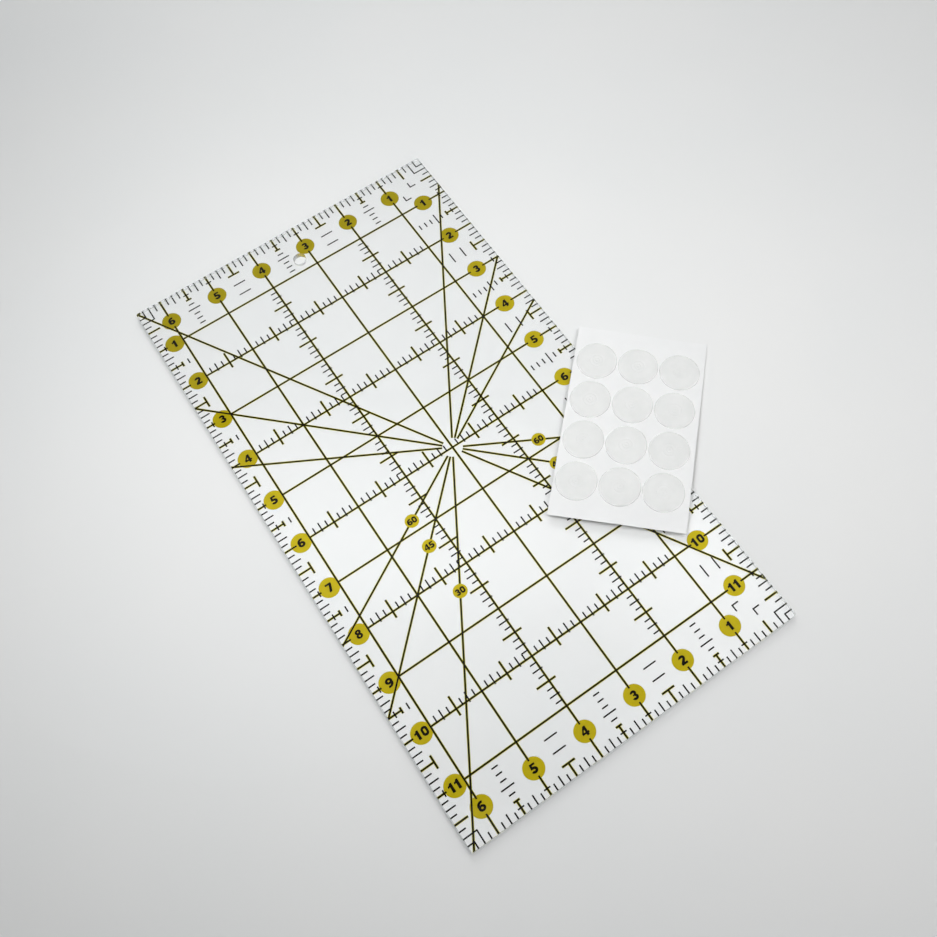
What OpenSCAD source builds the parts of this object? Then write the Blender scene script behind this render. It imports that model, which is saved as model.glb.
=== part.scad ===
// Clear acrylic quilting ruler, printed on its underside, with a sheet of non-slip grip discs lying on it.
// +X runs across the ruler, +Y along it with the numerals upright, +Z up. The origin is the middle of the
// plane that the printed underside rests on. Scale positions are in inches, everything else is in millimetres.

/* [Plate] */
// Whole inches across the grid; half an inch is added for the left margin
inches_across = 6; // [4:2:8]
// Whole inches along the ruler
inches_long = 12; // [10:2:18]
// Thickness of the acrylic sheet
plate_t = 3; // [2:0.5:5]
// Radius of the plate's four corners
corner_r = 0.8; // [0.3:0.1:3]
// Diameter of the hang hole
hang_d = 6.35; // [4:0.05:10]
// Distance of the hang hole's centre from the top edge, in inches
hang_in = 0.75; // [0.6:0.05:0.9]

/* [Print] */
// Thickness of each colour of ink
ink_t = 0.02; // [0.01:0.01:0.1]
// Width of the black inch lines and of the half-inch ticks
line_w = 0.76; // [0.3:0.02:0.9]
// Width of the thin eighth-inch and quarter-inch ticks
tick_w = 0.66; // [0.2:0.02:0.7]
// Width of the yellow band behind each black inch line
band_w = 1.12; // [0.92:0.02:1.6]
// Gap between the ink and the plate's edges
edge_gap = 0.06; // [0.02:0.01:0.5]
// Diameter of the numbered yellow dots
dot_d = 9.5; // [8.5:0.1:10]
// Diameter of the dots on the angle lines
angle_dot_d = 6.6; // [6:0.1:7]
// Height of the inch numerals
numeral_h = 4.2; // [3:0.1:4.6]
// Height of the angle numerals
angle_numeral_h = 3.1; // [2:0.1:3.2]
// Distance from the fan's centre at which the angle lines start, in inches
fan_start = 0.19; // [0.1:0.01:0.3]

/* [Grip discs] */
// Diameter of one non-slip disc
grip_d = 19.2; // [12:0.1:19.4]
// Thickness of one disc
grip_t = 0.7; // [0.4:0.1:2]
// Distance between disc columns
grip_pitch_x = 19.9; // [19.6:0.1:24]
// Distance between disc rows
grip_pitch_y = 20.8; // [20:0.1:26]
// Width of the release liner
liner_w = 62.2; // [62:0.2:76]
// Length of the release liner
liner_l = 98.6; // [84:0.2:120]
// Thickness of the release liner
liner_t = 0.15; // [0.1:0.05:0.4]
// Middle of the liner across the ruler
liner_x = 79.1; // [-80:0.1:120]
// Middle of the liner along the ruler
liner_y = -39.8; // [-120:0.1:120]
// Turn of the liner seen from above
liner_turn = -44.1; // [-90:0.1:90]

/* [Hidden] */
$fn = 64;
inch = 25.4;
left_edge = inches_across + 0.5;  // the plate's left edge, in inches from the right edge
plate_w = left_edge * inch;
plate_l = inches_long * inch;
fit = 0.01;                       // clearance between parts that only lie on each other
plate_z = 2 * ink_t;              // the acrylic sits on two colours of ink
liner_z = plate_z + plate_t + fit;
grip_z = liner_z + liner_t + fit;

// Scale positions, in inches: "across" is measured from the right edge, "down" from the top edge
dot_in = 0.5;                     // dots along the top, bottom and right edges, from their edge
left_dot = inches_across + 0.174; // across position of the left column of dots
dot_clear = 0.135;                // black lines stop this far from a dot's centre
left_clear = 0.156;               // the same, to the left of the left column
left_clear_middle = 0.09;         // the same, at the left column's middle dot

// Fan of angle lines
fan_across = inches_across / 2;
fan_down = inches_long / 2;
angles = [30, 45, 60];            // of the lines, from level
angle_dot_in = 1.364;             // the angle dots stand this far to each side of the centre, in inches
spoke_overrun = 2;                // the lines are drawn past the plate's edge, then trimmed

// Ticks, in inches
eighth_tick = 0.125;
quarter_tick = 0.18;
half_tick = 0.25;
fine_rung = 0.12;                 // crossbar lengths
coarse_rung = 0.25;
inner_quarter_tick = 0.158;       // long arm of a quarter-inch tick on an inner line
inner_quarter_stub = 0.04;        // its short arm, on the other side of the line
inner_half_stub = 0.13;           // short arm of a half-inch tick on an inner line
line_half = line_w / 2 / inch;
tick_half = tick_w / 2 / inch;

TOP = 0;
BOTTOM = 1;
RIGHT = 2;
LEFT = 3;

PLAIN = 0;                        // crossbars on a half-inch tick
FINE = 1;
COARSE = 2;

numeral_stretch = 1.17;           // widening of the numerals

grip_columns = 3;
grip_rows = 4;
grip_shift = [-0.6, 0.2];         // middle of the discs from the liner's middle
grip_bevel = min(0.2, grip_t / 3);
dimple_r = 0.9;                   // shallow dimple in the middle of each disc
dimple_floor_r = 0.6;
dimple_depth = 0.1;

acrylic_c = [0.86, 0.93, 0.95, 0.35];
black_c = [0.10, 0.10, 0.085];
yellow_c = [0.78, 0.68, 0.07];
liner_c = [0.96, 0.96, 0.95];
grip_c = [0.80, 0.81, 0.80, 0.8];

// ---- positions and bars ----
function x_at(across) = plate_w / 2 - across * inch;
function y_at(down) = plate_l / 2 - down * inch;
function frac(value) = value - floor(value);
// holds a coordinate within the printed part of a plate of this size
function clamp(value, size) = min(max(value, -size / 2 + edge_gap), size / 2 - edge_gap);

// a bar between two scale positions: a level one stands at pos down the ruler,
// an upright one at pos across it
module bar(level, pos, from, to, width) {
  near = min(from, to);
  far = max(from, to);
  if (level) {
    x = clamp(x_at(far), plate_w);
    translate([x, y_at(pos) - width / 2]) square([clamp(x_at(near), plate_w) - x, width]);
  } else {
    y = clamp(y_at(far), plate_l);
    translate([x_at(pos) - width / 2, y]) square([width, clamp(y_at(near), plate_l) - y]);
  }
}

// ---- grid ----
module black_grid_2d() {
  for (across = [1:inches_across]) {
    bar(false, across, 0, dot_in - dot_clear, line_w);
    bar(false, across, dot_in + dot_clear, inches_long - dot_in - dot_clear, line_w);
    bar(false, across, inches_long - dot_in + dot_clear, inches_long, line_w);
  }
  for (down = [1:inches_long - 1]) {
    clear = down == inches_long / 2 ? left_clear_middle : left_clear;
    bar(true, down, 0, dot_in - dot_clear, line_w);
    bar(true, down, dot_in + dot_clear, inches_across, line_w);
    bar(true, down, left_dot + clear, left_edge, line_w);
  }
}
module yellow_grid_2d() {
  for (across = [1:inches_across]) bar(false, across, 0, inches_long, band_w);
  for (down = [1:inches_long - 1]) bar(true, down, 0, left_edge, band_w);
}

// ---- angle lines; side is -1 left or 1 right, rise is -1 down or 1 up ----
// length from the fan's centre to the plate's edge
function spoke_length(side, rise, angle) = min(
  (side < 0 ? left_edge - fan_across : fan_across) * inch / cos(angle),
  (rise > 0 ? fan_down : inches_long - fan_down) * inch / sin(angle));

// one angle line between two distances from the fan's centre
module spoke(side, rise, angle, from, to, width) {
  translate([x_at(fan_across), y_at(fan_down)])
    rotate(side > 0 ? rise * angle : 180 - rise * angle)
      translate([from, -width / 2]) square([to - from, width]);
}
// broken lines leave room for the dots below the fan's centre
module angle_2d(width, broken) {
  start = fan_start * inch;
  intersection() {
    union() for (side = [-1, 1], rise = [-1, 1], angle = angles) {
      end = spoke_length(side, rise, angle) + spoke_overrun;
      dot = angle_dot_in * inch / cos(angle);
      if (broken && rise < 0) {
        spoke(side, rise, angle, start, dot - angle_dot_d / 2, width);
        spoke(side, rise, angle, dot + angle_dot_d / 2, end, width);
      } else spoke(side, rise, angle, start, end, width);
    }
    square([plate_w - 2 * edge_gap, plate_l - 2 * edge_gap], center = true);
  }
}

// ---- dots, as [across, down, number] ----
number_dots = concat(
  [for (across = [1:inches_across], down = [dot_in, inches_long - dot_in]) [across, down, across]],
  [for (down = [1:inches_long - 1], across = [dot_in, left_dot]) [across, down, down]]);
angle_dots = [for (side = [-1, 1], angle = angles)
  [fan_across - side * angle_dot_in, fan_down + angle_dot_in * tan(angle), 90 - angle]];

module dots_2d(dots, diameter) {
  for (dot = dots) translate([x_at(dot[0]), y_at(dot[1])]) circle(d = diameter);
}

// ---- ticks along the edges; pos runs along the edge, depth is measured in from it ----
function is_side(edge) = edge == RIGHT || edge == LEFT;
function whole_inches(edge) = is_side(edge) ? inches_long : inches_across;
function full_inches(edge) = is_side(edge) ? inches_long : left_edge;
function depth_at(edge, depth) =
  edge == BOTTOM ? inches_long - depth : edge == LEFT ? left_edge - depth : depth;
function ladder(edge, index) =
  (index == 0 || (is_side(edge) && index == inches_long - 1)) ? PLAIN
  : index % 2 == 1 ? FINE : COARSE;

// a mark pointing in from the edge
module edge_mark(edge, pos, from, to, width) {
  bar(is_side(edge), pos, depth_at(edge, from), depth_at(edge, to), width);
}
// a crossbar parallel to the edge, centred on pos
module crossbar(edge, pos, depth, length, width) {
  bar(!is_side(edge), depth_at(edge, depth), pos - length / 2, pos + length / 2, width);
}
// a thin crossbar in two halves, so that it meets a thick line without overlapping it
module split_crossbar(edge, pos) {
  reach = fine_rung / 2;
  for (side = [-1, 1])
    crossbar(edge, pos + side * (line_half + reach) / 2, eighth_tick, reach - line_half, tick_w);
}

module half_ticks_2d(width) {
  for (edge = [TOP:LEFT], index = [0:whole_inches(edge) - 1]) {
    pos = index + 0.5;
    kind = ladder(edge, index);
    edge_mark(edge, pos, 0, half_tick, width);
    if (kind == FINE) crossbar(edge, pos, half_tick, fine_rung, width);
    if (kind == COARSE) crossbar(edge, pos, half_tick, coarse_rung, width);
  }
}
// thin crossbars at and beyond a half-inch tick; the left edge has only the first ones
module ladder_2d(edge, pos, kind) {
  if (kind == FINE) {
    split_crossbar(edge, pos);
    crossbar(edge, pos, 0.375, fine_rung, tick_w);
    if (edge != LEFT) {
      for (depth = [0.625, 0.75, 0.875]) crossbar(edge, pos, depth, fine_rung, tick_w);
      crossbar(edge, pos, 0.5, coarse_rung, tick_w);
    }
  }
  if (kind == COARSE && edge != LEFT)
    for (depth = [0.5, 0.75]) crossbar(edge, pos, depth, coarse_rung, tick_w);
}
module edge_ticks_2d() {
  for (edge = [TOP:LEFT]) {
    for (i = [3:full_inches(edge) * 8 - 3]) {
      pos = i / 8;
      if (i % 4 == 2) edge_mark(edge, pos, 0, quarter_tick, tick_w);
      else if (i % 4 != 0) edge_mark(edge, pos, 0, eighth_tick, tick_w);
    }
    for (index = [0:whole_inches(edge) - 1]) ladder_2d(edge, index + 0.5, ladder(edge, index));
    // every odd inch line carries a small crossbar near the edge
    for (pos = [1:2:whole_inches(edge) - 1]) split_crossbar(edge, pos);
  }
}
// nested square marks in the four corners, and a further pair in each right-hand corner
module corner_marks_2d() {
  for (depth = [0.125, 0.25]) {
    for (edge = [RIGHT, LEFT], pos = [depth, inches_long - depth])
      edge_mark(edge, pos, 0, depth + tick_half, tick_w);
    for (edge = [TOP, BOTTOM], pos = [depth, left_edge - depth])
      edge_mark(edge, pos, 0, depth - tick_half, tick_w);
  }
  for (depth = [0.5, 0.75]) {
    for (pos = [depth, inches_long - depth])
      edge_mark(RIGHT, pos, depth - 0.125, depth + tick_half, tick_w);
    for (edge = [TOP, BOTTOM])
      edge_mark(edge, depth, depth - 0.125, depth - tick_half, tick_w);
  }
}

// ---- ticks on every second inner line: upright on the level lines, level on the upright ones ----
// the long arm points up from a level line and left from an upright one
function long_side(level) = level ? 1 : -1;
function last_line(level) = (level ? inches_across : inches_long) - 2;
function ticks_end(level) = level ? inches_long - 1 : inches_across;

// the two arms of a tick, stopping at the edges of the thick line
module inner_tick(level, line, pos) {
  part = frac(pos);
  half = part == 0.5;
  quarter = part == 0.25 || part == 0.75;
  width = half ? line_w : tick_w;
  long_arm = half ? half_tick : quarter ? inner_quarter_tick : eighth_tick;
  short_arm = half ? inner_half_stub : quarter ? inner_quarter_stub : 0;
  side = long_side(level);
  bar(level, pos, line + side * line_half, line + side * long_arm, width);
  if (short_arm > line_half)
    bar(level, pos, line - side * line_half, line - side * short_arm, width);
}
module inner_ticks_2d() {
  for (level = [false, true])
    for (line = [2:2:last_line(level)], i = [9:ticks_end(level) * 8 - 1])
      if (i % 8 != 0) inner_tick(level, line, i / 8);
}
// the whole length of the half-inch ticks, for the yellow behind them
module inner_half_2d() {
  for (level = [false, true]) {
    side = long_side(level);
    for (line = [2:2:last_line(level)], pos = [1.5:1:ticks_end(level) - 0.5])
      bar(level, pos, line - side * inner_half_stub, line + side * half_tick, band_w);
  }
}

// ---- numerals, drawn as bars and arcs in a box 0.6 high wide and high tall, then widened ----
module ring(radius, stroke) {
  difference() {
    circle(r = radius);
    circle(r = radius - stroke);
  }
}
module arc(radius, stroke, from, to) {
  steps = 8;
  intersection() {
    ring(radius, stroke);
    polygon(concat([[0, 0]], [for (i = [0:steps])
      let (angle = from + (to - from) * i / steps) 2 * radius * [cos(angle), sin(angle)]]));
  }
}
module digit(value, high) {
  stroke = 0.235 * high;
  half = 0.3 * high;
  if (value == 0) difference() {
    union() {
      translate([half, half]) circle(r = half);
      translate([half, high - half]) circle(r = half);
      translate([0, half]) square([2 * half, high - 2 * half]);
    }
    for (y = [0.36, 0.64]) translate([half, y * high]) circle(r = 0.09 * high);
    translate([half - 0.09 * high, 0.36 * high]) square([0.18 * high, 0.28 * high]);
  }
  if (value == 1)
    polygon(high * [[0.20, 0], [0.46, 0], [0.46, 1], [0.27, 1],
      [0.20, 0.87], [0.04, 0.79], [0.04, 0.59], [0.20, 0.66]]);
  if (value == 2) {
    translate([half, high - half]) arc(half, 1.1 * stroke, -35, 175);
    polygon(high * [[0, 0], [0.6, 0], [0.6, 0.235], [0.36, 0.235],
      [0.565, 0.52], [0.36, 0.66], [0, 0.24]]);
  }
  if (value == 3) {
    translate([half, 0.72 * high]) arc(0.28 * high, stroke, -85, 170);
    translate([half, 0.305 * high]) arc(0.305 * high, 0.245 * high, -170, 85);
    translate([0.18 * high, 0.44 * high]) square([0.2 * high, 0.16 * high]);
  }
  if (value == 4) difference() {
    polygon(high * [[0.31, 0], [0.55, 0], [0.55, 0.2], [0.65, 0.2], [0.65, 0.4], [0.55, 0.4],
      [0.55, 1], [0.33, 1], [-0.03, 0.39], [-0.03, 0.2], [0.31, 0.2]]);
    polygon(high * [[0.32, 0.4], [0.32, 0.68], [0.165, 0.4]]);
  }
  if (value == 5) {
    translate([0.28 * high, 0.335 * high]) arc(0.335 * high, 1.08 * stroke, -162, 128);
    polygon(high * [[0.03, 0.42], [0.25, 0.46], [0.27, 0.79], [0.57, 0.79], [0.57, 1], [0.08, 1]]);
  }
  if (value == 6) {
    translate([0.31 * high, 0.33 * high]) ring(0.33 * high, stroke);
    translate([0.42 * high, 0.56 * high]) arc(0.44 * high, stroke, 70, 200);
  }
  if (value == 7)
    polygon(high * [[0.01, 1], [0.01, 0.79], [0.35, 0.79], [0.12, 0], [0.38, 0], [0.61, 0.82], [0.61, 1]]);
  if (value == 8) {
    translate([half, 0.725 * high]) ring(0.275 * high, 0.205 * high);
    translate([half, 0.295 * high]) ring(0.295 * high, 0.21 * high);
  }
  if (value == 9) translate([0.6 * high, high]) rotate(180) digit(6, high);
}
// one or two digits, centred on their own middle
module number(value, high) {
  tens = floor(value / 10);
  ones = value % 10;
  spacing = (value == 11 ? 0.6 : 0.66) * high;
  scale([numeral_stretch, 1]) translate([-0.3 * high, -high / 2])
    if (tens == 0) digit(ones, high);
    else {
      translate([-spacing / 2, 0]) digit(tens, high);
      translate([spacing / 2, 0]) digit(ones, high);
    }
}
module numerals_2d(dots, high) {
  for (dot = dots) translate([x_at(dot[0]), y_at(dot[1])]) number(dot[2], high);
}

// ---- plate ----
module acrylic_plate() {
  color(acrylic_c) translate([0, 0, plate_z])
    difference() {
      linear_extrude(plate_t) difference() {
        square([plate_w, plate_l], center = true);
        for (side = [-1, 1], end = [-1, 1])
          translate([side * (plate_w / 2 - corner_r), end * (plate_l / 2 - corner_r)])
            difference() {
              translate([side, end] * corner_r * 0.75) square(corner_r * 1.5, center = true);
              circle(r = corner_r);
            }
      }
      translate([0, y_at(hang_in), -1]) cylinder(d = hang_d, h = plate_t + 2);
    }
}

// ---- print: yellow lies lowest, black between it and the plate ----
module yellow() { color(yellow_c) linear_extrude(ink_t) children(); }
module black() { color(black_c) translate([0, 0, ink_t]) linear_extrude(ink_t) children(); }
// the first child without the black angle lines
module black_off_angles() {
  black() difference() {
    children();
    angle_2d(line_w, true);
  }
}

module yellow_number_dots() { yellow() dots_2d(number_dots, dot_d); }
module yellow_angle_dots() { yellow() dots_2d(angle_dots, angle_dot_d); }
module yellow_grid_bands() {
  yellow() difference() {
    yellow_grid_2d();
    dots_2d(number_dots, dot_d);
  }
}
module yellow_angle_bands() {
  yellow() difference() {
    angle_2d(band_w, false);
    yellow_grid_2d();
    dots_2d(number_dots, dot_d);
    dots_2d(angle_dots, angle_dot_d);
  }
}
module yellow_tick_bands() {
  yellow() difference() {
    union() {
      half_ticks_2d(band_w);
      inner_half_2d();
    }
    angle_2d(band_w, false);
    yellow_grid_2d();
    dots_2d(number_dots, dot_d);
    dots_2d(angle_dots, angle_dot_d);
  }
}
module black_grid_lines() { black() black_grid_2d(); }
module black_angle_lines() {
  black() difference() {
    angle_2d(line_w, true);
    black_grid_2d();
  }
}
module black_half_inch_ticks() { black_off_angles() half_ticks_2d(line_w); }
module black_edge_ticks() { black_off_angles() edge_ticks_2d(); }
module black_inner_ticks() { black_off_angles() inner_ticks_2d(); }
module black_corner_marks() { black_off_angles() corner_marks_2d(); }
module black_inch_numerals() { black() numerals_2d(number_dots, numeral_h); }
module black_angle_numerals() { black() numerals_2d(angle_dots, angle_numeral_h); }

// ---- liner and grip discs ----
module on_liner() { translate([liner_x, liner_y, 0]) rotate([0, 0, liner_turn]) children(); }

module release_liner() {
  color(liner_c) on_liner()
    translate([-liner_w / 2, -liner_l / 2, liner_z]) cube([liner_w, liner_l, liner_t]);
}
// discs are counted from 1 along the rows, from the liner's top left
module grip(count) {
  column = (count - 1) % grip_columns;
  row = floor((count - 1) / grip_columns);
  x = (column - (grip_columns - 1) / 2) * grip_pitch_x + grip_shift[0];
  y = ((grip_rows - 1) / 2 - row) * grip_pitch_y + grip_shift[1];
  color(grip_c) on_liner() translate([x, y, grip_z])
    rotate_extrude() polygon([
      [0, 0],
      [grip_d / 2, 0],
      [grip_d / 2, grip_t - grip_bevel],
      [grip_d / 2 - grip_bevel, grip_t],
      [dimple_r, grip_t],
      [dimple_floor_r, grip_t - dimple_depth],
      [0, grip_t - dimple_depth]]);
}

acrylic_plate();
yellow_grid_bands();
yellow_angle_bands();
yellow_tick_bands();
yellow_number_dots();
yellow_angle_dots();
black_grid_lines();
black_angle_lines();
black_half_inch_ticks();
black_edge_ticks();
black_inner_ticks();
black_corner_marks();
black_inch_numerals();
black_angle_numerals();
release_liner();
grip(1);  // grip_disc_01
grip(2);  // grip_disc_02
grip(3);  // grip_disc_03
grip(4);  // grip_disc_04
grip(5);  // grip_disc_05
grip(6);  // grip_disc_06
grip(7);  // grip_disc_07
grip(8);  // grip_disc_08
grip(9);  // grip_disc_09
grip(10);  // grip_disc_10
grip(11);  // grip_disc_11
grip(12);  // grip_disc_12
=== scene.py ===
import math

import bmesh
import bpy
from mathutils import Matrix, Vector
from mathutils.geometry import tessellate_polygon


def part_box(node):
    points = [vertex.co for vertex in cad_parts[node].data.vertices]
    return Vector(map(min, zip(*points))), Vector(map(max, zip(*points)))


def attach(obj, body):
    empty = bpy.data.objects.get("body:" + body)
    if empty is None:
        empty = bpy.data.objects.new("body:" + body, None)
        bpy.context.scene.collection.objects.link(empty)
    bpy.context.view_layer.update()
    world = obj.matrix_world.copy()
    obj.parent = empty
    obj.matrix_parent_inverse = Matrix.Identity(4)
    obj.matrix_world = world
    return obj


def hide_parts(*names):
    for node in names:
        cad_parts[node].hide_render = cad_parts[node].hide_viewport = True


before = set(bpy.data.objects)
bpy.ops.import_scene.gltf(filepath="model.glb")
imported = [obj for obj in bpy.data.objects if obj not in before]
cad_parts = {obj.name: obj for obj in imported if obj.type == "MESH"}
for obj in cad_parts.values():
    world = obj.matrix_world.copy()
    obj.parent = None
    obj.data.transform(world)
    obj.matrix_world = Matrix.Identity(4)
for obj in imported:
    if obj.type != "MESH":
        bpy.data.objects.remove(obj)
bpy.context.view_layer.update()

MM = 0.001
HOLE_Y = 133.35 * MM  # the hang hole's centre, at x = 0
HOLE_RADIUS = 3.175 * MM
ACRYLIC_IOR = 1.49
# plan direction in which the slanting bands of light are measured
SLANT_X, SLANT_Y = 0.573, 0.8196


# ------------------------------------------------------------------ helpers


class Tree:
    """A small builder for the node tree of one material or world."""

    def __init__(self, owner, output="ShaderNodeOutputMaterial"):
        self.owner = owner
        owner.use_nodes = True
        self.tree = owner.node_tree
        self.tree.nodes.clear()
        self.out = self.add(output)
        self.coord = None

    def add(self, kind, **settings):
        node = self.tree.nodes.new(kind)
        for key, value in settings.items():
            setattr(node, key, value)
        return node

    def put(self, socket, value):
        """Link a socket, or set a number or a three-part colour."""
        if isinstance(value, bpy.types.NodeSocket):
            self.tree.links.new(value, socket)
        elif isinstance(value, tuple):
            socket.default_value = (*value, 1)
        else:
            socket.default_value = value

    def place(self):
        if self.coord is None:
            self.coord = self.add("ShaderNodeTexCoord").outputs["Object"]
        return self.coord

    def xyz(self, vector=None):
        node = self.add("ShaderNodeSeparateXYZ")
        self.put(node.inputs[0], vector or self.place())
        return node.outputs

    def mapped(self, scale, turn=(0, 0, 0)):
        node = self.add("ShaderNodeMapping")
        self.put(node.inputs["Vector"], self.place())
        node.inputs["Scale"].default_value = scale
        node.inputs["Rotation"].default_value = turn
        return node.outputs[0]

    def noise(self, scale, detail=2.0, rough=0.5, at=None):
        node = self.add("ShaderNodeTexNoise")
        self.put(node.inputs["Vector"], at or self.place())
        node.inputs["Scale"].default_value = scale
        node.inputs["Detail"].default_value = detail
        node.inputs["Roughness"].default_value = rough
        return node.outputs["Fac"]

    def ramp(self, value, span, to=(0.0, 1.0)):
        """Ease from to[0] to to[1] as value goes from span[0] to span[1]."""
        node = self.add("ShaderNodeMapRange", interpolation_type="SMOOTHSTEP")
        self.put(node.inputs["Value"], value)
        node.inputs["From Min"].default_value, node.inputs["From Max"].default_value = span
        node.inputs["To Min"].default_value, node.inputs["To Max"].default_value = to
        return node.outputs["Result"]

    def math(self, operation, *values):
        node = self.add("ShaderNodeMath", operation=operation)
        for socket, value in zip(node.inputs, (*values, 0.0)):
            self.put(socket, value)
        return node.outputs[0]

    def across(self, x, y):
        """Distance along the slant direction."""
        return self.math(
            "ADD", self.math("MULTIPLY", x, SLANT_X), self.math("MULTIPLY", y, SLANT_Y)
        )

    def mix(self, factor, low, high, blend="MIX"):
        node = self.add("ShaderNodeMix", data_type="RGBA", blend_type=blend)
        for index, value in ((0, factor), (6, low), (7, high)):
            self.put(node.inputs[index], value)
        return node.outputs[2]

    def bump(self, height, distance, strength):
        node = self.add("ShaderNodeBump")
        self.put(node.inputs["Height"], height)
        node.inputs["Distance"].default_value = distance
        node.inputs["Strength"].default_value = strength
        return node.outputs[0]

    def shader(self, kind, **inputs):
        node = self.add("ShaderNode" + kind)
        for key, value in inputs.items():
            self.put(node.inputs[key.replace("_", " ")], value)
        return node.outputs[0]

    def glass(self, **inputs):
        surface = self.shader("BsdfGlass", IOR=ACRYLIC_IOR, **inputs)
        surface.node.distribution = "GGX"
        return surface

    def lamps_pass(self):
        """1 for the rays that lamps and soft bounced light travel along."""
        rays = self.add("ShaderNodeLightPath").outputs
        return self.math("MAXIMUM", rays["Is Shadow Ray"], rays["Is Diffuse Ray"])

    def mix_shader(self, factor, low, high):
        node = self.add("ShaderNodeMixShader")
        for socket, value in zip(node.inputs, (factor, low, high)):
            self.put(socket, value)
        return node.outputs[0]

    def done(self, surface):
        self.put(self.out.inputs["Surface"], surface)
        return self.owner


def material_tree(name):
    return Tree(bpy.data.materials.new(name))


def scene_object(name, data):
    made = bpy.data.objects.new(name, data)
    bpy.context.scene.collection.objects.link(made)
    return made


def mesh_object(name, mesh, *materials):
    data = bpy.data.meshes.new(name)
    mesh.to_mesh(data)
    mesh.free()
    for material in materials:
        data.materials.append(material)
    return scene_object(name, data)


def solid_object(name, mesh, *materials):
    bmesh.ops.recalc_face_normals(mesh, faces=mesh.faces)
    return mesh_object(name, mesh, *materials)


def grid_object(name, segments, size, material):
    mesh = bmesh.new()
    bmesh.ops.create_grid(mesh, x_segments=segments, y_segments=segments, size=size)
    return mesh_object(name, mesh, material)


def matrix_of(*columns):
    """A transform from its x, y and z axes and its origin."""
    return Matrix([*zip(*columns), (0, 0, 0, 1)])


# ------------------------------------------------------------------ inks


def ink_film(tree, patch_scale, grain_scale, patch_share):
    """The ink's uneven thickness and the fine grain in it."""
    patches = tree.noise(scale=patch_scale, detail=3, rough=0.55)
    grain = tree.noise(scale=grain_scale, detail=2, rough=0.6)
    film = tree.math(
        "ADD",
        tree.math("MULTIPLY", patches, patch_share),
        tree.math("MULTIPLY", grain, 1 - patch_share),
    )
    return film, grain


def ink_surface(tree, colour, film, grain, roughness):
    surface = tree.shader(
        "BsdfPrincipled",
        Base_Color=colour,
        Roughness=tree.ramp(grain, span=(0.3, 0.7), to=roughness),
        Specular_IOR_Level=0.12,
        Normal=tree.bump(film, distance=0.000004, strength=0.5),
    )
    return tree.done(surface)


def yellow_ink(name, shaded_top, main_colour):
    """Colours given: the ink near the ruler's top edge, darkened there by painted shade, and the ink
    over the rest of the ruler.
    """
    tree = material_tree(name)
    x, y, _ = tree.xyz()
    # painted shade darkens the ink towards the top edge, and a painted highlight makes it lightest
    # across a slanting band
    down = tree.ramp(y, span=(0.165, -0.010))
    across = tree.across(x, y)
    lit = tree.math(
        "MULTIPLY",
        tree.ramp(across, span=(0.010, -0.040)),
        tree.ramp(across, span=(-0.097, -0.056)),
    )
    film, grain = ink_film(tree, patch_scale=260, grain_scale=5200, patch_share=0.7)
    colour = tree.mix(down, low=shaded_top, high=main_colour)
    colour = tree.mix(lit, low=colour, high=tuple(1.09 * part for part in main_colour))
    thickness = tree.ramp(film, span=(0.32, 0.68), to=(0.0, 0.5))
    colour = tree.mix(thickness, low=colour, high=(0.84, 0.84, 0.84), blend="MULTIPLY")
    return ink_surface(tree, colour, film, grain, roughness=(0.42, 0.6))


def black_ink():
    tree = material_tree("black_screen_ink")
    film, grain = ink_film(tree, patch_scale=420, grain_scale=7400, patch_share=0.6)
    colour = tree.mix(
        tree.ramp(film, span=(0.3, 0.7)),
        low=(0.0042, 0.0034, 0.0016),
        high=(0.0080, 0.0062, 0.0028),
    )
    return ink_surface(tree, colour, film, grain, roughness=(0.4, 0.62))


# each yellow's first colour is the painted shade at the ruler's top edge, its second the colour
# elsewhere
dot_yellow = yellow_ink(
    "yellow_dot_ink", shaded_top=(0.335, 0.268, 0.0015), main_colour=(0.490, 0.388, 0.0020)
)
band_yellow = yellow_ink(
    "yellow_band_ink", shaded_top=(0.420, 0.375, 0.0020), main_colour=(0.505, 0.460, 0.0025)
)
black = black_ink()
for name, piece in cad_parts.items():
    if name.startswith(("yellow_", "black_")):
        piece.data.materials.clear()
        yellow = dot_yellow if name.endswith("_dots") else band_yellow
        piece.data.materials.append(yellow if name.startswith("yellow_") else black)


# ------------------------------------------------------------------ acrylic plate

CORNER_RADIUS = 0.8 * MM
CORNER_STEPS = 8
CORNER_GUARD = 0.35 * MM  # the straight wall's last points lie this far from each corner
HOLE_SEGMENTS = 128
ARRIS = 0.10 * MM  # radius of the rounded upper and lower edges
ARRIS_STEPS = 4
PLATE_BOTTOM = 0.003 * MM
FACE, CUT_EDGE, DRILLED_WALL, LOWER_ARRIS = range(4)  # the plate's material slots


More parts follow.
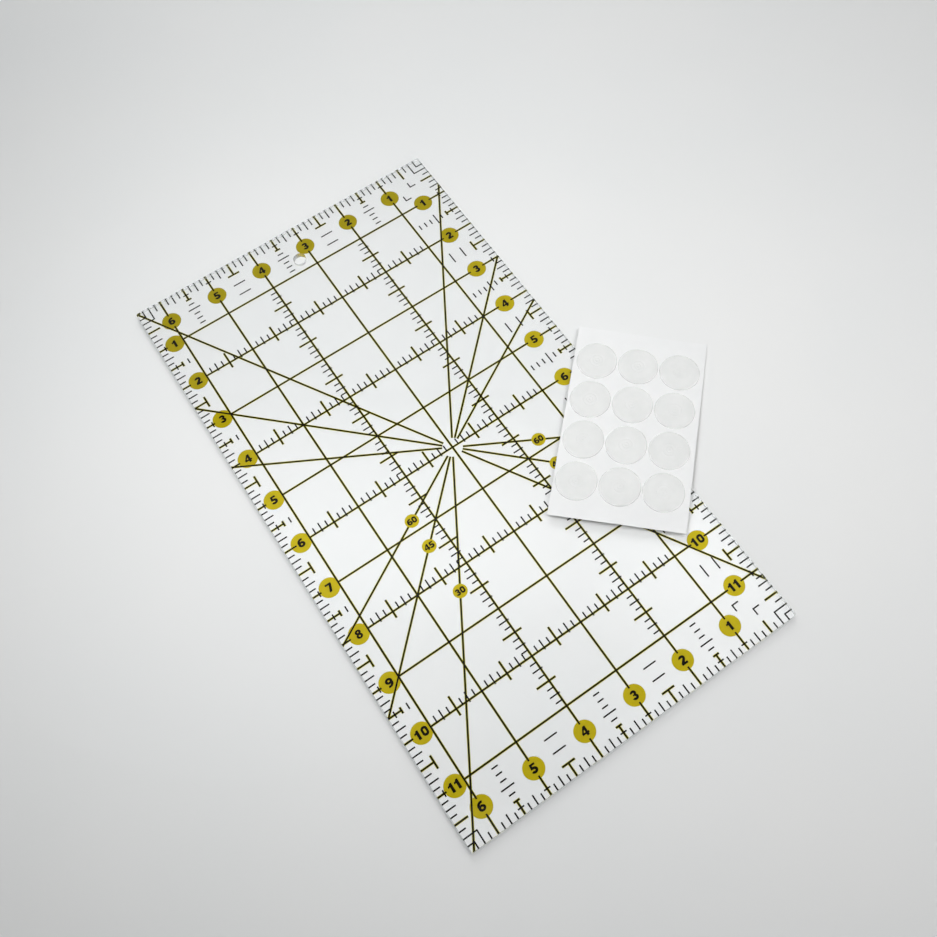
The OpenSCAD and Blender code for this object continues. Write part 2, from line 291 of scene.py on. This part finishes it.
def acrylic_face():
    tree = material_tree("acrylic_polished_face")
    stretched = tree.mapped(scale=(1, 0.25, 1), turn=(0, 0, 0.7))
    wipe = tree.noise(scale=60, detail=3, rough=0.6, at=stretched)
    smudge = tree.noise(scale=34)
    haze = tree.math(
        "MULTIPLY", tree.ramp(wipe, span=(0.5, 0.72)), tree.ramp(smudge, span=(0.45, 0.7))
    )
    glass = tree.glass(
        Color=tree.mix(haze, low=(0.995, 0.998, 1.0), high=(0.985, 0.99, 0.99)),
        Roughness=tree.math("MULTIPLY", haze, 0.02),
    )
    # a tuned effect, not a physical one: each face brightens lamp light in places,
    # most in a slanting band, and dims it a little beyond
    x, y, _ = tree.xyz()
    across = tree.across(x, y)
    along = tree.math(
        "SUBTRACT", tree.math("MULTIPLY", x, SLANT_Y), tree.math("MULTIPLY", y, SLANT_X)
    )
    band = tree.math(
        "ADD",
        tree.ramp(across, span=(0.048, 0.008), to=(0.0, 0.028)),
        tree.ramp(across, span=(0.012, -0.052), to=(0.0, 0.048)),
    )
    band = tree.math("ADD", band, tree.ramp(along, span=(0.060, 0.116), to=(0.0, 0.044)))
    corner = tree.math(
        "MULTIPLY",
        tree.ramp(along, span=(0.0, 0.04), to=(0.0, 0.012)),
        tree.ramp(across, span=(-0.01, 0.03)),
    )
    band = tree.math("ADD", band, corner)
    fade = tree.math(
        "ADD",
        tree.ramp(across, span=(-0.060, -0.086), to=(0.0, 0.017)),
        tree.ramp(across, span=(-0.108, -0.140), to=(0.0, 0.010)),
    )
    gain = tree.math("ADD", tree.math("SUBTRACT", band, fade), 1.0)
    clear = tree.shader("BsdfTransparent", Color=gain)
    return tree.done(tree.mix_shader(tree.lamps_pass(), glass, clear))


def tint_of(red, blue):
    return red, (red + blue) / 2, blue


def acrylic_edge(name, outside, inside, rough=0.0, frost=0.0):
    """rough, frost: how matt and how white the cut is.

    outside, inside: the lamp light (red, blue) kept by a ray that meets it from there.
    """
    tree = material_tree(name)
    # a saw and flame finish: fine upright strokes with a few deeper ones
    strokes = tree.noise(scale=1500, detail=3, rough=0.6, at=tree.mapped(scale=(1, 1, 0.04)))
    scores = tree.noise(scale=330, detail=1, at=tree.mapped(scale=(1, 1, 0.03)))
    scores = tree.ramp(scores, span=(0.62, 0.74))
    height = tree.math("SUBTRACT", strokes, tree.math("MULTIPLY", scores, 0.8))
    body = tree.glass(
        Color=(0.965, 0.985, 0.985),
        Roughness=tree.math(
            "ADD",
            tree.math("MULTIPLY", strokes, 0.012),
            tree.math("MULTIPLY_ADD", scores, 0.03, rough),
        ),
        Normal=tree.bump(height, distance=0.000005, strength=0.12),
    )
    # the plate keeps lamp light that meets its wall from inside and sends it on below,
    # so only the ground beyond a wall lies in a soft shadow
    behind = tree.add("ShaderNodeNewGeometry").outputs["Backfacing"]
    x, y, z = tree.xyz()
    outside = tint_of(*outside)
    # the upper half of the wall passes more, which keeps the shadow close to its foot
    upper = tree.mix(
        tree.ramp(z, span=(0.0002, 0.0027)),
        low=outside,
        high=tuple(1 - (1 - part) * 0.68 for part in outside),
    )
    kept = tree.mix(behind, low=upper, high=tint_of(*inside))
    clear = tree.shader("BsdfTransparent", Color=kept)
    if frost:
        # a drill leaves its wall partly frosted white; on the side of the yellow number dot the
        # frost is tinted yellow, a painted reflection of the dot in place of a traced one
        side = tree.math("ADD", x, tree.math("SUBTRACT", y, HOLE_Y))
        tint = tree.mix(
            tree.ramp(side, span=(0.0016, 0.0044)),
            low=(0.95, 0.95, 0.94),
            high=(0.60, 0.49, 0.13),
        )
        white = tree.shader("BsdfDiffuse", Color=tint)
        glow = tree.shader("BsdfTranslucent", Color=tint)
        frosted = tree.mix_shader(0.5, white, glow)
        cover = tree.ramp(strokes, span=(0.2, 0.8), to=(0.8 * frost, 1.1 * frost))
        body = tree.mix_shader(cover, body, frosted)
    return tree.done(tree.mix_shader(tree.lamps_pass(), body, clear))


def direction(angle):
    return Vector((math.cos(angle), math.sin(angle)))


def plate_loops(lo, hi):
    """The outline and the hang hole as loops of (point, normal out of the acrylic)."""
    x = (hi.x - lo.x) / 2 - CORNER_RADIUS
    y = (hi.y - lo.y) / 2 - CORNER_RADIUS
    outer = []
    for k, (side_x, side_y) in enumerate(((1, 1), (-1, 1), (-1, -1), (1, -1))):
        start = math.radians(90 * k)
        centre = Vector((side_x * x, side_y * y))
        first, last = direction(start), direction(start + math.pi / 2)
        outer.append((centre + first * CORNER_RADIUS - last * CORNER_GUARD, first))
        for i in range(CORNER_STEPS + 1):
            normal = direction(start + math.pi / 2 * i / CORNER_STEPS)
            outer.append((centre + normal * CORNER_RADIUS, normal))
        outer.append((centre + last * CORNER_RADIUS - first * CORNER_GUARD, last))
    hole = []
    for i in range(HOLE_SEGMENTS):
        normal = direction(-2 * math.pi * i / HOLE_SEGMENTS)
        hole.append((Vector((0, HOLE_Y)) + normal * HOLE_RADIUS, -normal))
    return outer, hole


def wall_section(bottom, top):
    """The wall from the underside to the top: (distance in from the wall, height)."""
    turns = [i / ARRIS_STEPS * math.pi / 2 for i in range(ARRIS_STEPS + 1)]
    foot, head = bottom + ARRIS, top - ARRIS
    section = [(ARRIS - ARRIS * math.sin(a), foot - ARRIS * math.cos(a)) for a in turns]
    # a narrow row of faces at the foot and the head keeps the wall's shading flat in between
    section += [(0.0, foot + 0.02 * MM), (0.0, head - 0.02 * MM)]
    section += [(ARRIS - ARRIS * math.cos(a), head + ARRIS * math.sin(a)) for a in turns]
    return section


def build_plate():
    lo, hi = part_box("acrylic_plate")
    outer, hole = plate_loops(lo, hi)
    section = wall_section(PLATE_BOTTOM, hi.z)
    mesh = bmesh.new()
    caps = ([], [])
    for loop, drilled in ((outer, False), (hole, True)):
        grid = [
            [mesh.verts.new((p.x - n.x * inset, p.y - n.y * inset, z)) for p, n in loop]
            for inset, z in section
        ]
        for k, (below, above) in enumerate(zip(grid, grid[1:])):
            for i in range(len(loop)):
                j = (i + 1) % len(loop)
                face = mesh.faces.new((below[i], below[j], above[j], above[i]))
                face.smooth = True
                if drilled:
                    face.material_index = DRILLED_WALL
                else:
                    face.material_index = LOWER_ARRIS if k < ARRIS_STEPS else CUT_EDGE
        caps[0].append(grid[0])
        caps[1].append(grid[-1])
    for loops in caps:
        corners = [vert for loop in loops for vert in loop]
        flat = [[Vector((vert.co.x, vert.co.y, 0)) for vert in loop] for loop in loops]
        for triangle in tessellate_polygon(flat):
            mesh.faces.new([corners[i] for i in triangle]).material_index = FACE
    return solid_object(
        "acrylic_plate_polished",
        mesh,
        acrylic_face(),
        acrylic_edge("acrylic_cut_edge", outside=(0.31, 0.33), inside=(0.95, 0.96)),
        acrylic_edge(
            "acrylic_drilled_wall",
            outside=(0.93, 0.93),
            inside=(0.98, 0.98),
            rough=0.08,
            frost=0.45,
        ),
        acrylic_edge("acrylic_lower_arris", outside=(0.97, 0.97), inside=(0.97, 0.97)),
    )


plate = build_plate()
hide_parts("acrylic_plate")
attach(plate, "ruler")


# ------------------------------------------------------------------ release liner

# millimetres, in the frame of the ruler
LINER_WIDTH, LINER_LENGTH, LINER_THICK = 62.2, 98.6, 0.15
LINER_X, LINER_Y = 79.1, -39.8
LINER_TURN = math.radians(-44.1)
LINER_COS, LINER_SIN = math.cos(LINER_TURN), math.sin(LINER_TURN)
# the curled sheet runs a touch past the flat one at both ends
SHEET_END = LINER_LENGTH / 2 + 0.15
SHEET_COLUMNS, SHEET_ROWS = 36, 58
RULER_RIGHT = 83.0  # x of the ruler's right edge
SINK_DEPTH, SINK_REACH = 2.5, 50.0

liner_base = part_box("release_liner")[0].z


def lift(x, y):
    """How far the sheet stands up from flat at (x, y), in its own frame, in millimetres."""
    # the -y end curls up, most along its middle
    down = max(0.0, (-y - 30.0) / 18.5)
    curl = 0.36 * down**2 * (1 - 0.5 * (x / (LINER_WIDTH / 2)) ** 2)
    wave = 0.05 * (1 - math.cos(x * 0.11)) * (0.5 + 0.5 * math.sin(y * 0.06))
    # past the ruler's right edge nothing carries it, so it sinks to the table
    past = LINER_X + LINER_COS * x - LINER_SIN * y - RULER_RIGHT
    sink = min(1.0, max(0.0, past) / SINK_REACH)
    return curl + wave * (1 - sink) - SINK_DEPTH * sink * sink * (3 - 2 * sink)


def on_liner(x, y, z):
    """A point of the sheet's own frame (millimetres, z above its flat underside), in metres."""
    return Vector(
        (
            (LINER_X + LINER_COS * x - LINER_SIN * y) * MM,
            (LINER_Y + LINER_SIN * x + LINER_COS * y) * MM,
            liner_base + (z + lift(x, y)) * MM,
        )
    )


def liner_paper():
    tree = material_tree("release_liner_paper")
    stretched = tree.mapped(scale=(1, 0.35, 1), turn=(0, 0, 0.78))
    fibre = tree.noise(scale=900, detail=4, rough=0.6, at=stretched)
    cloud = tree.noise(scale=120)
    colour = tree.mix(
        tree.ramp(cloud, span=(0.3, 0.7)), low=(0.812, 0.815, 0.817), high=(0.828, 0.830, 0.832)
    )
    fibres = tree.math("MULTIPLY", tree.ramp(fibre, span=(0.5, 0.8)), 0.3)
    surface = tree.shader(
        "BsdfPrincipled",
        Base_Color=tree.mix(fibres, low=colour, high=(0.798, 0.800, 0.800)),
        Roughness=tree.ramp(cloud, span=(0.3, 0.7), to=(0.42, 0.52)),
        Specular_IOR_Level=0.3,
        Normal=tree.bump(fibre, distance=0.00002, strength=0.25),
    )
    return tree.done(surface)


def build_liner():
    # a narrow last row of faces on every side keeps the shading level up to the cut rim
    xs = [i / SHEET_COLUMNS - 0.5 for i in range(1, SHEET_COLUMNS)]
    xs = [-0.5, -0.499] + xs + [0.499, 0.5]
    ys = [j / SHEET_ROWS for j in range(1, SHEET_ROWS)]
    ys = [0.0, 0.0007] + ys + [0.9993, 1.0]
    last_x, last_y = len(xs) - 1, len(ys) - 1
    mesh = bmesh.new()
    top, bottom = [], []
    for along in ys:
        y = -SHEET_END + along * 2 * SHEET_END
        top.append([])
        bottom.append([])
        for across in xs:
            x = across * LINER_WIDTH
            top[-1].append(mesh.verts.new(on_liner(x, y, LINER_THICK)))
            bottom[-1].append(mesh.verts.new(on_liner(x, y, 0)))
    for j in range(last_y):
        for i in range(last_x):
            cell = ((j, i), (j, i + 1), (j + 1, i + 1), (j + 1, i))
            mesh.faces.new([top[b][a] for b, a in cell]).smooth = True
            under = (cell[0], *cell[:0:-1])
            mesh.faces.new([bottom[b][a] for b, a in under]).smooth = True
    rim = [(j, 0) for j in range(last_y, 0, -1)] + [(0, i) for i in range(last_x)]
    rim += [(j, last_x) for j in range(last_y)] + [(last_y, i) for i in range(last_x, 0, -1)]
    for (j, i), (j2, i2) in zip(rim, rim[1:] + rim[:1]):
        mesh.faces.new((bottom[j][i], bottom[j2][i2], top[j2][i2], top[j][i]))
    return solid_object("release_liner_paper", mesh, liner_paper())


liner = build_liner()
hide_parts("release_liner")
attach(liner, "grip_liner")


# ------------------------------------------------------------------ grip discs

DISC_COUNT, DISC_COLUMNS = 12, 3
COLUMN_PITCH, ROW_PITCH = 19.8, 21.0
# the die cut sits half a millimetre off the sheet's middle, turned by half a degree
DIE_X, DIE_Y, DIE_SKEW = -0.5, 0.1, 0.009
DISC_SEGMENTS = 96
# a disc's moulded top from near its middle out: radius, height, steps from the last station
DISC_STATIONS = (
    (0.35, 0.60, 0), (0.8, 0.67, 4), (1.15, 0.685, 2), (1.4, 0.635, 3),
    (1.65, 0.69, 3), (2.8, 0.695, 2), (3.05, 0.655, 3), (3.3, 0.70, 3),
    (5.6, 0.69, 3), (8.3, 0.675, 3), (8.65, 0.625, 3), (8.9, 0.66, 3),
)
# the rounded rim, a quarter ellipse: centre and half sizes as (radius, height)
RIM_CENTRE, RIM_SIZE, RIM_STEPS = (9.05, 0.30), (0.55, 0.36), 5
# the rim's foot and the flat underside, inwards: radius, height
DISC_UNDER = ((9.6, 0.1), (9.52, 0.0), (6.3, 0.0), (3.1, 0.0), (0.0, 0.0))


def grip_silicone():
    tree = material_tree("grip_silicone_frosted")
    cloud = tree.noise(scale=110, detail=3, rough=0.55)
    frost = tree.noise(scale=4200, detail=2, rough=0.6)
    solid = tree.shader(
        "BsdfPrincipled",
        Base_Color=tree.mix(
            tree.ramp(cloud, span=(0.3, 0.7)),
            low=(0.742, 0.745, 0.744),
            high=(0.760, 0.763, 0.762),
        ),
        Roughness=tree.ramp(frost, span=(0.3, 0.7), to=(0.38, 0.55)),
        IOR=1.41,
        Normal=tree.bump(frost, distance=0.000012, strength=0.3),
    )
    clear = tree.shader("BsdfTransparent", Color=(0.99, 0.99, 0.985))
    # the thin rounded rim is clearer than the thick middle
    up = tree.xyz(tree.add("ShaderNodeNewGeometry").outputs["Normal"])[2]
    body = tree.math(
        "MULTIPLY",
        tree.ramp(cloud, span=(0.25, 0.75), to=(0.52, 0.56)),
        tree.ramp(up, span=(0.35, 0.95), to=(0.25, 1.0)),
    )
    seen = tree.mix_shader(body, clear, solid)
    through = tree.shader("BsdfTransparent", Color=(0.985, 0.985, 0.98))
    shadow = tree.add("ShaderNodeLightPath").outputs["Is Shadow Ray"]
    return tree.done(tree.mix_shader(shadow, seen, through))


def disc_section():
    """The disc's whole section, from the top's middle round to the underside's: (radius, height)."""
    section = [(0.0, DISC_STATIONS[0][1])]
    for (r0, h0, _), (r1, h1, steps) in zip(DISC_STATIONS, DISC_STATIONS[1:]):
        for i in range(1, steps + 1):
            s = i / steps
            ease = s * s * (3 - 2 * s)
            section.append((r0 + (r1 - r0) * i / steps, h0 + (h1 - h0) * ease))
    for i in range(1, RIM_STEPS + 1):
        out = direction(math.pi / 2 * (1 - i / RIM_STEPS))
        section.append((RIM_CENTRE[0] + RIM_SIZE[0] * out.x, RIM_CENTRE[1] + RIM_SIZE[1] * out.y))
    return section + list(DISC_UNDER)


def build_disc(number, material):
    row, column = divmod(number - 1, DISC_COLUMNS)
    y = (1.5 - row) * ROW_PITCH + DIE_Y
    x = (column - 1) * COLUMN_PITCH + DIE_X + DIE_SKEW * y
    node = f"grip_disc_{number:02d}"
    base = (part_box(node)[0].z - liner_base) / MM
    mesh = bmesh.new()
    rings = []
    for radius, height in disc_section():
        ring = []
        for i in range(DISC_SEGMENTS if radius else 1):
            a = 2 * math.pi * i / DISC_SEGMENTS
            point = on_liner(x + radius * math.cos(a), y + radius * math.sin(a), base + height)
            ring.append(mesh.verts.new(point))
        rings.append(ring)
    for near, far in zip(rings, rings[1:]):
        for i in range(DISC_SEGMENTS):
            j = (i + 1) % DISC_SEGMENTS
            if len(near) == 1:
                corners = (near[0], far[i], far[j])
            elif len(far) == 1:
                corners = (near[i], far[0], near[j])
            else:
                corners = (near[i], far[i], far[j], near[j])
            mesh.faces.new(corners).smooth = True
    disc = solid_object(f"{node}_silicone", mesh, material)
    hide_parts(node)
    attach(disc, f"grip_{number:02d}")


silicone = grip_silicone()
for number in range(1, DISC_COUNT + 1):
    build_disc(number, silicone)


# ------------------------------------------------------------------ table

SURROUND = 0.80  # brightness of the pale surround


def table_top():
    tree = material_tree("table_top")
    cloud = tree.noise(scale=9)
    grain = tree.noise(scale=2600, detail=2, rough=0.6)
    surface = tree.shader(
        "BsdfPrincipled",
        Base_Color=tree.mix(
            tree.ramp(cloud, span=(0.3, 0.7)), low=(0.795, 0.80, 0.80), high=(0.81, 0.81, 0.807)
        ),
        Roughness=tree.ramp(grain, span=(0.3, 0.7), to=(0.62, 0.75)),
        Specular_IOR_Level=0.2,
        Normal=tree.bump(grain, distance=0.00001, strength=0.15),
    )
    # beyond the lamps' reach it fades into the pale surround, which only shows from low angles
    reach = tree.add("ShaderNodeVectorMath", operation="LENGTH")
    tree.put(reach.inputs[0], tree.place())
    pale = tree.shader("Emission", Color=(1, 1, 1), Strength=SURROUND)
    seen = tree.add("ShaderNodeLightPath").outputs["Is Camera Ray"]
    far = tree.math("MULTIPLY", tree.ramp(reach.outputs["Value"], span=(0.42, 0.72)), seen)
    return tree.done(tree.mix_shader(far, surface, pale))


table = grid_object("table", segments=8, size=4.0, material=table_top())
table.location = (0, 0, -0.02 * MM)


# ------------------------------------------------------------------ lamps and world


def soft_lamp(name, at, to, size, watts, colour):
    light = bpy.data.lights.new(name, "AREA")
    light.shape = "DISK"
    light.size = size
    light.energy = watts
    light.color = colour
    lamp = scene_object(name, light)
    lamp.location = at
    lamp.rotation_mode = "QUATERNION"
    lamp.rotation_quaternion = (Vector(to) - Vector(at)).to_track_quat("-Z", "Y")
    lamp.visible_glossy = False
    lamp.visible_camera = False
    lamp.visible_transmission = False
    return light


over = soft_lamp(
    "lamp_over",
    at=(-0.062, 0.057, 0.463),
    to=(-0.062, 0.057, 0),
    size=0.28,
    watts=0.251,
    colour=(0.988, 1.0, 0.998),
)
over.spread = math.radians(84.6)
soft_lamp(
    "lamp_key",
    at=(0.35, 0.712, 0.60),
    to=(0, 0, 0),
    size=0.5,
    watts=4.26,
    colour=(0.974, 0.996, 1.0),
)
soft_lamp(
    "lamp_fill",
    at=(0.233, -0.189, 0.50),
    to=(0.233, -0.189, 0),
    size=0.4,
    watts=1.50,
    colour=(1.0, 0.998, 0.992),
)

# brightness of the mirrored room at eye level and overhead
EYE_LEVEL, OVERHEAD = 0.85, 0.20


def build_world():
    world = bpy.data.worlds.new("studio")
    bpy.context.scene.world = world
    tree = Tree(world, "ShaderNodeOutputWorld")
    rays = tree.add("ShaderNodeLightPath").outputs
    mirrored = tree.shader("Background", Color=(1, 1, 1), Strength=OVERHEAD)
    soft = tree.shader("Background", Color=(0.99, 1.0, 1.0), Strength=0.12)
    seen = tree.shader("Background", Color=(1, 1, 1), Strength=SURROUND)
    # the room is pale at eye level and dim overhead, as the cut edges and the faces show it
    up = tree.xyz(tree.add("ShaderNodeTexCoord").outputs["Generated"])[2]
    glow = tree.ramp(up, span=(0.05, 0.75), to=(EYE_LEVEL, OVERHEAD))
    tree.put(mirrored.node.inputs["Strength"], glow)
    surface = tree.mix_shader(rays["Is Diffuse Ray"], mirrored, soft)
    tree.done(tree.mix_shader(rays["Is Camera Ray"], surface, seen))


build_world()


# ------------------------------------------------------------------ soft card and camera

CAM_PLACE = Vector((-0.05802, -0.19067, 0.41582))
CAM_RIGHT = Vector((0.8191919, -0.5726802, -0.0310162))
CAM_UP = Vector((0.5350918, 0.7437222, 0.4006919))
CAM_AXIS = Vector((0.2064009, 0.3448401, -0.9156877))
SENSOR_WIDTH = 36.0
FOCAL_LENGTH = 38.03244397  # along the lens axis, in millimetres
# the lens axis lies this far right of and below the view's middle, in focal lengths
AXIS_RIGHT, AXIS_BELOW = 0.0788968583, 0.00050510152
CAM_FORWARD = CAM_AXIS - CAM_RIGHT * AXIS_RIGHT + CAM_UP * AXIS_BELOW

CARD_WIDTH, CARD_DEPTH = 1.5, 0.64
CARD_PLACE = (0.127, 0.216, 1.0)


def glow_card():
    tree = material_tree("soft_card")
    u, v, _ = tree.xyz(tree.add("ShaderNodeTexCoord").outputs["Generated"])
    ends = tree.math(
        "MULTIPLY", tree.ramp(u, span=(0.0, 0.14)), tree.ramp(u, span=(1.0, 0.86))
    )
    rise = tree.math(
        "ADD",
        tree.ramp(v, span=(0.02, 0.26), to=(0, 0.32)),
        tree.ramp(v, span=(0.27, 0.50), to=(0, 0.68)),
    )
    glow = tree.math("MULTIPLY", rise, tree.ramp(v, span=(0.95, 0.79)))
    glow = tree.math("MULTIPLY", glow, ends)
    strength = tree.math("MULTIPLY", glow, 0.22)
    return tree.done(tree.shader("Emission", Color=(1, 1, 1), Strength=strength))


def build_card():
    """A wide soft card that only shows as a pale band mirrored in the acrylic."""
    card = grid_object("soft_card", segments=4, size=0.5, material=glow_card())
    along = Vector((CAM_RIGHT.x, CAM_RIGHT.y, 0)).normalized()
    away = Vector((-along.y, along.x, 0))
    card.matrix_world = matrix_of(along * CARD_WIDTH, away * CARD_DEPTH, (0, 0, 1), CARD_PLACE)
    card.visible_camera = False
    card.visible_diffuse = False
    card.visible_shadow = False


def build_camera():
    data = bpy.data.cameras.new("camera")
    camera = scene_object("camera", data)
    data.sensor_fit = "HORIZONTAL"
    data.sensor_width = SENSOR_WIDTH
    data.lens = FOCAL_LENGTH * CAM_FORWARD.length
    data.clip_start, data.clip_end = 0.01, 50.0
    # the view's middle ray isn't square to its right and up axes: the rig holds that slant
    rig = scene_object("camera_rig", None)
    camera.parent = rig
    camera.matrix_parent_inverse = matrix_of(
        CAM_RIGHT, CAM_UP, -CAM_FORWARD.normalized(), CAM_PLACE
    )
    bpy.context.scene.camera = camera


build_card()
build_camera()


# ------------------------------------------------------------------ render settings

view = bpy.context.scene.view_settings
view.view_transform = "Standard"
view.look = "None"
view.exposure = 0.0
view.gamma = 1.0

cycles = bpy.context.scene.cycles
cycles.transparent_max_bounces = 32
cycles.max_bounces = 24
cycles.transmission_bounces = 20
cycles.glossy_bounces = 12
cycles.diffuse_bounces = 5
